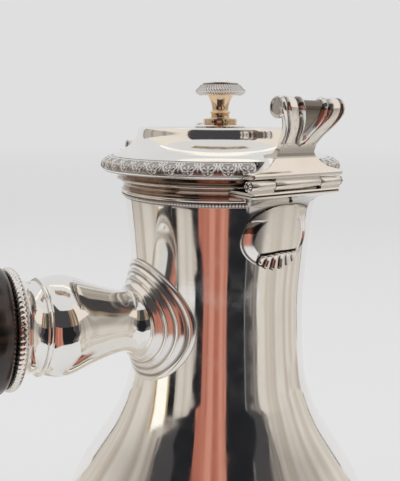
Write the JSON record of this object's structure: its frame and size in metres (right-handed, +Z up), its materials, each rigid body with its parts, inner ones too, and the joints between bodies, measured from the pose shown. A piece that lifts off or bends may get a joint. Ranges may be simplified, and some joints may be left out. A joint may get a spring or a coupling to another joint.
{
  "type": "chocolate pot",
  "caption": "Pear-shaped silver chocolate pot with a hinged lid, swinging finial cover, covered beak spout and a turned wooden side handle.",
  "frame": {"origin": "centre of the foot ring's resting face, on the axis of the body", "axes": "+Z up along the body's axis, -Y towards the lid hinge, +Y towards the spout, -X towards the handle"},
  "size_m": [0.2203, 0.1242, 0.1946],
  "materials": {
    "silver": "polished silver with light wear",
    "silver_ornament": "cast and chased silver, darker in the hollows",
    "silver_pin": "polished silver",
    "dark_wood": "polished dark hardwood"
  },
  "bodies": {
    "pot": {"body": "silver", "foot_ring": "silver", "neck_collar": "silver", "bead_wire": "silver_ornament", "spout": "silver", "flap_pin": "silver_pin", "hinge_bracket": "silver", "hinge_pin": "silver_pin", "hinge_plaque": "silver", "handle_plate": "silver", "handle_socket": "silver", "rope_ring": "silver_ornament", "wooden_handle": "dark_wood", "handle_pin": "silver_pin"},
    "lid": {"lid_shell": "silver", "lid_border": "silver_ornament", "lid_bezel": "silver", "hinge_plate": "silver", "thumbpiece": "silver", "cover_rivet": "silver_pin"},
    "cover": {"cover_plate": "silver", "finial_stem": "silver", "finial_cap": "silver_ornament"},
    "flap": {"spout_flap": "silver"}
  },
  "joints": [
    {"name": "lid_hinge", "type": "hinge", "parent": "pot", "child": "lid", "pos_m": [0, -0.036, 0.1655], "axis": [1, 0, 0], "range_deg": [0, 100]},
    {"name": "cover_swing", "type": "hinge", "parent": "lid", "child": "cover", "pos_m": [0, 0.0115, 0.18], "axis": [0, 0, 1], "range_deg": [-95, 95]},
    {"name": "flap_hinge", "type": "hinge", "parent": "pot", "child": "flap", "pos_m": [0, 0.057, 0.16901], "axis": [1, 0, 0], "range_deg": [0, 95]}
  ]
}
